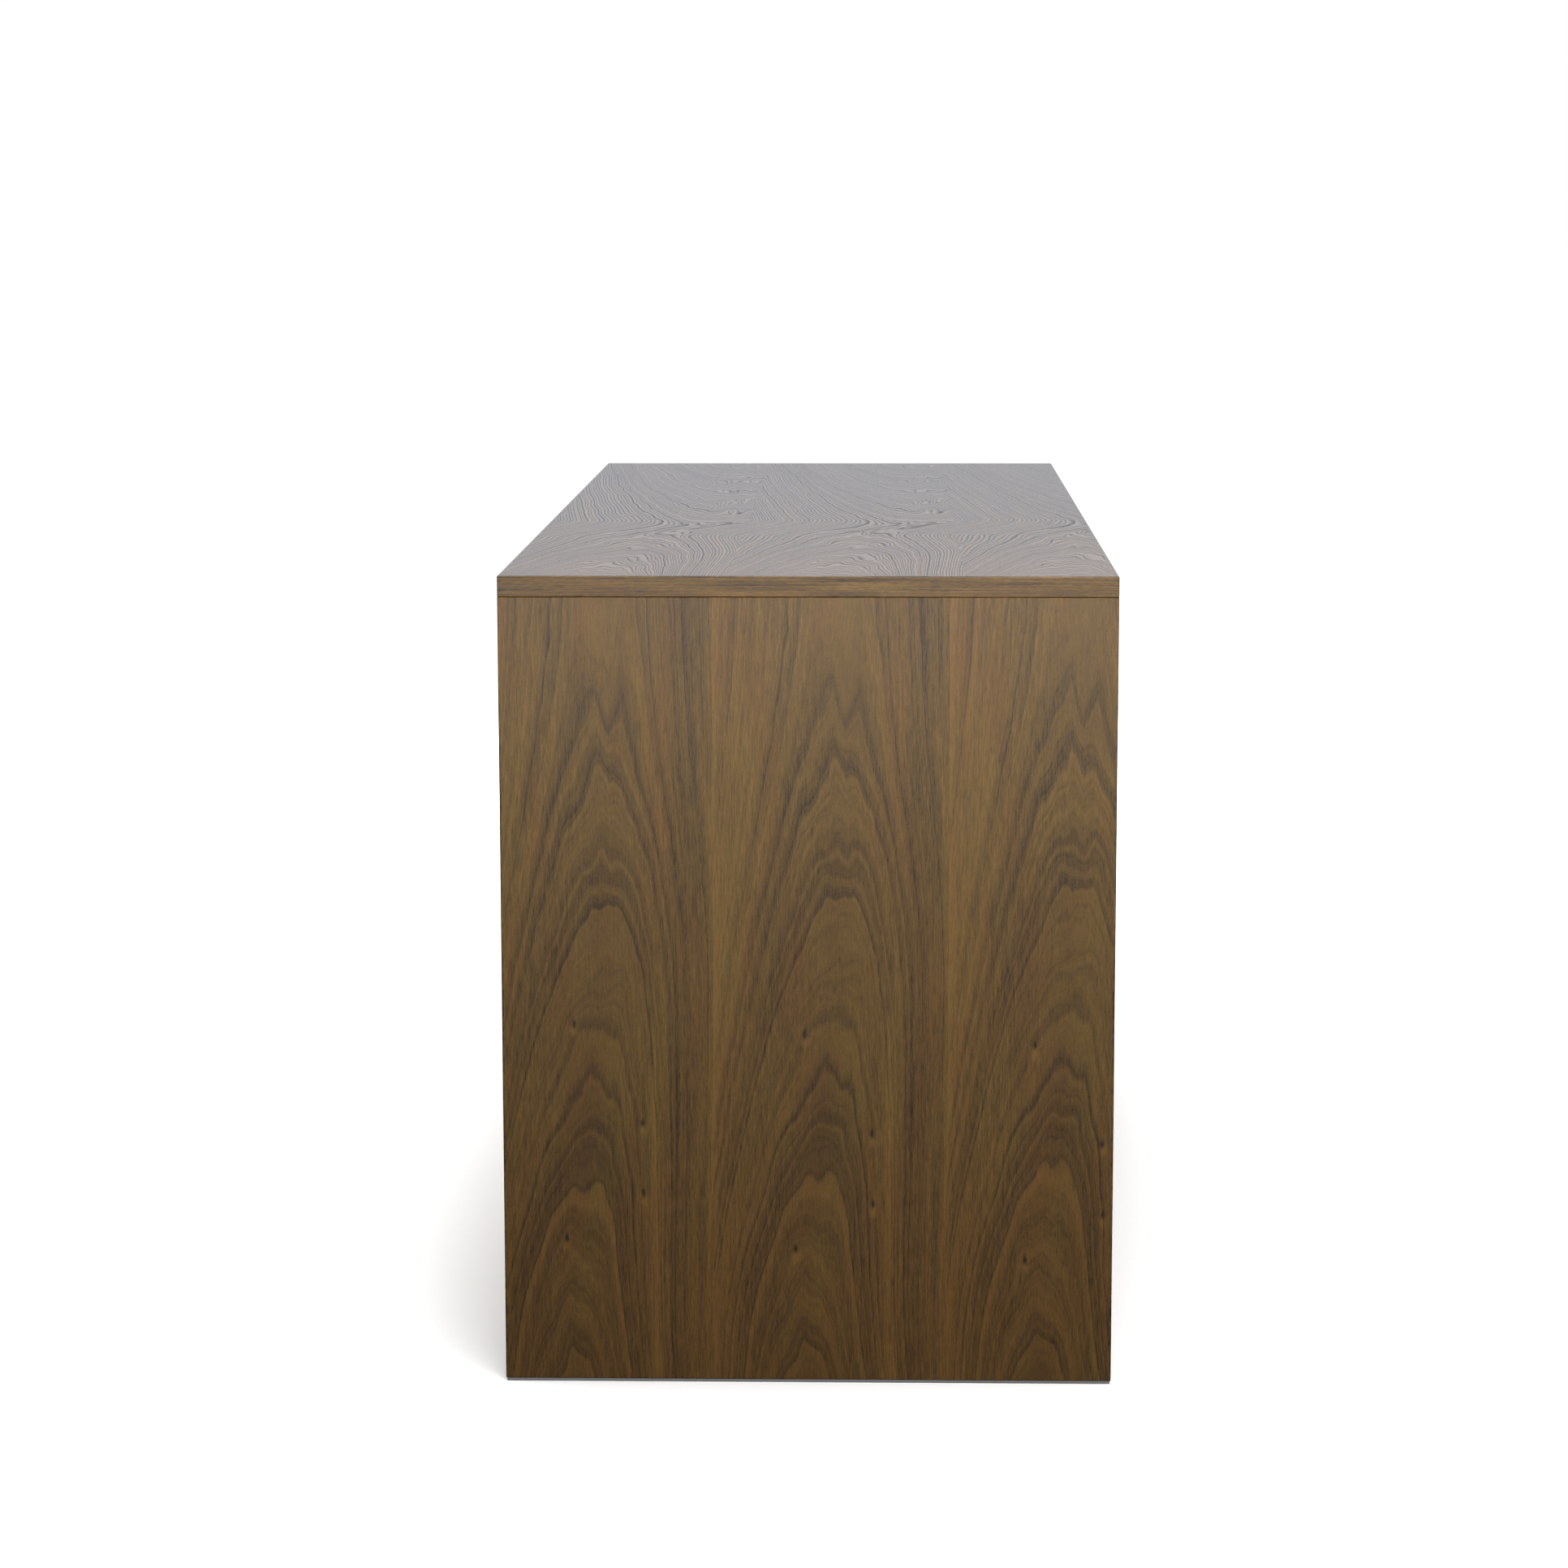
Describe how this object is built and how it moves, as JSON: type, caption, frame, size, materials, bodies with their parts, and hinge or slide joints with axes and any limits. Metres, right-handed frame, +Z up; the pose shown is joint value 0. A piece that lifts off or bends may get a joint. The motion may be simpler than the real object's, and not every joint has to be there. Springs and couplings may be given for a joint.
{
  "type": "cube storage unit",
  "caption": "Long low walnut-veneered storage unit of square cubes: open cubes above, drawers in the middle and cupboards with doors at the ends below.",
  "frame": {"origin": "on the floor, under the middle of the unit", "axes": "+X along the length towards the right-hand end as seen from the front, +Y from the front to the back, +Z up"},
  "size_m": [1.447, 0.55, 0.736],
  "materials": {
    "walnut_veneer": "satin clear-coated walnut veneer, grain upright on the end panels and along the top",
    "walnut_banding": "satin clear-coated walnut edge banding",
    "drawer_box_wood": "clear-coated birch plywood",
    "dowel_wood": "plain beech",
    "glide_plastic": "pale grey felted plastic strip",
    "cam_zinc": "die-cast zinc",
    "zinc_plated_steel": "zinc-plated steel",
    "steel_balls_and_cages": "steel balls in pressed steel cages",
    "turned_steel": "turned steel",
    "bush_plastic": "dark brown nylon",
    "magnet_steel": "magnet with steel pole pieces"
  },
  "bodies": {
    "carcass": {"top_panel": "walnut_veneer", "top_edge_banding": "walnut_banding", "left_end_panel": "walnut_veneer", "right_end_panel": "walnut_veneer", "end_panel_edge_banding": "walnut_banding", "bottom_panel": "walnut_veneer", "left_divider": "walnut_veneer", "middle_divider": "walnut_veneer", "right_divider": "walnut_veneer", "divider_edge_banding": "walnut_banding", "shelf_1": "walnut_veneer", "shelf_2": "walnut_veneer", "shelf_3": "walnut_veneer", "shelf_4": "walnut_veneer", "shelf_edge_banding": "walnut_banding", "left_back_panel": "walnut_veneer", "right_back_panel": "walnut_veneer", "back_panel_screws": "zinc_plated_steel", "glide_strips": "glide_plastic", "cam_housings": "cam_zinc", "cam_bolts": "zinc_plated_steel", "wood_dowels": "dowel_wood", "divider_screws": "zinc_plated_steel", "left_drawer_cabinet_rails": "zinc_plated_steel", "right_drawer_cabinet_rails": "zinc_plated_steel", "cabinet_rail_screws": "zinc_plated_steel", "door_pivot_bushes": "bush_plastic", "door_catches": "bush_plastic", "door_catch_magnets": "magnet_steel", "door_catch_screws": "zinc_plated_steel"},
    "left_drawer": {"left_drawer_front": "walnut_veneer", "left_drawer_box_front": "drawer_box_wood", "left_drawer_left_side": "drawer_box_wood", "left_drawer_right_side": "drawer_box_wood", "left_drawer_box_back": "drawer_box_wood", "left_drawer_bottom": "drawer_box_wood", "left_drawer_box_rails": "zinc_plated_steel", "left_drawer_screws": "zinc_plated_steel"},
    "left_drawer_middle_rails": {"left_drawer_middle_rails": "zinc_plated_steel"},
    "left_drawer_outer_cages": {"left_drawer_outer_ball_cages": "steel_balls_and_cages"},
    "left_drawer_inner_cages": {"left_drawer_inner_ball_cages": "steel_balls_and_cages"},
    "right_drawer": {"right_drawer_front": "walnut_veneer", "right_drawer_box_front": "drawer_box_wood", "right_drawer_left_side": "drawer_box_wood", "right_drawer_right_side": "drawer_box_wood", "right_drawer_box_back": "drawer_box_wood", "right_drawer_bottom": "drawer_box_wood", "right_drawer_box_rails": "zinc_plated_steel", "right_drawer_screws": "zinc_plated_steel"},
    "right_drawer_middle_rails": {"right_drawer_middle_rails": "zinc_plated_steel"},
    "right_drawer_outer_cages": {"right_drawer_outer_ball_cages": "steel_balls_and_cages"},
    "right_drawer_inner_cages": {"right_drawer_inner_ball_cages": "steel_balls_and_cages"},
    "left_door": {"left_door": "walnut_veneer", "left_door_pivot_pins": "turned_steel", "left_door_strike_plate": "zinc_plated_steel", "left_door_strike_screws": "zinc_plated_steel"},
    "right_door": {"right_door": "walnut_veneer", "right_door_pivot_pins": "turned_steel", "right_door_strike_plate": "zinc_plated_steel", "right_door_strike_screws": "zinc_plated_steel"}
  },
  "joints": [
    {"name": "left_drawer_slide", "type": "slide", "parent": "carcass", "child": "left_drawer", "axis": [0, -1, 0], "range_m": [0, 0.43]},
    {"name": "left_drawer_middle_rails_slide", "type": "slide", "parent": "carcass", "child": "left_drawer_middle_rails", "axis": [0, -1, 0], "range_m": [0, 0.216]},
    {"name": "left_drawer_outer_cages_slide", "type": "slide", "parent": "carcass", "child": "left_drawer_outer_cages", "axis": [0, -1, 0], "range_m": [0, 0.108]},
    {"name": "left_drawer_inner_cages_slide", "type": "slide", "parent": "carcass", "child": "left_drawer_inner_cages", "axis": [0, -1, 0], "range_m": [0, 0.3235]},
    {"name": "right_drawer_slide", "type": "slide", "parent": "carcass", "child": "right_drawer", "axis": [0, -1, 0], "range_m": [0, 0.43]},
    {"name": "right_drawer_middle_rails_slide", "type": "slide", "parent": "carcass", "child": "right_drawer_middle_rails", "axis": [0, -1, 0], "range_m": [0, 0.216]},
    {"name": "right_drawer_outer_cages_slide", "type": "slide", "parent": "carcass", "child": "right_drawer_outer_cages", "axis": [0, -1, 0], "range_m": [0, 0.108]},
    {"name": "right_drawer_inner_cages_slide", "type": "slide", "parent": "carcass", "child": "right_drawer_inner_cages", "axis": [0, -1, 0], "range_m": [0, 0.3235]},
    {"name": "left_door_pivot", "type": "hinge", "parent": "carcass", "child": "left_door", "pos_m": [-0.6735, -0.2645, 0.191], "axis": [0, 0, -1], "range_deg": [0, 110]},
    {"name": "right_door_pivot", "type": "hinge", "parent": "carcass", "child": "right_door", "pos_m": [0.6735, -0.2645, 0.191], "axis": [0, 0, 1], "range_deg": [0, 110]}
  ],
  "couplings": [
    {"joint": "left_drawer_middle_rails_slide", "follows": "left_drawer_slide", "ratio": 0.5},
    {"joint": "left_drawer_outer_cages_slide", "follows": "left_drawer_slide", "ratio": 0.25},
    {"joint": "left_drawer_inner_cages_slide", "follows": "left_drawer_slide", "ratio": 0.75},
    {"joint": "right_drawer_middle_rails_slide", "follows": "right_drawer_slide", "ratio": 0.5},
    {"joint": "right_drawer_outer_cages_slide", "follows": "right_drawer_slide", "ratio": 0.25},
    {"joint": "right_drawer_inner_cages_slide", "follows": "right_drawer_slide", "ratio": 0.75}
  ]
}
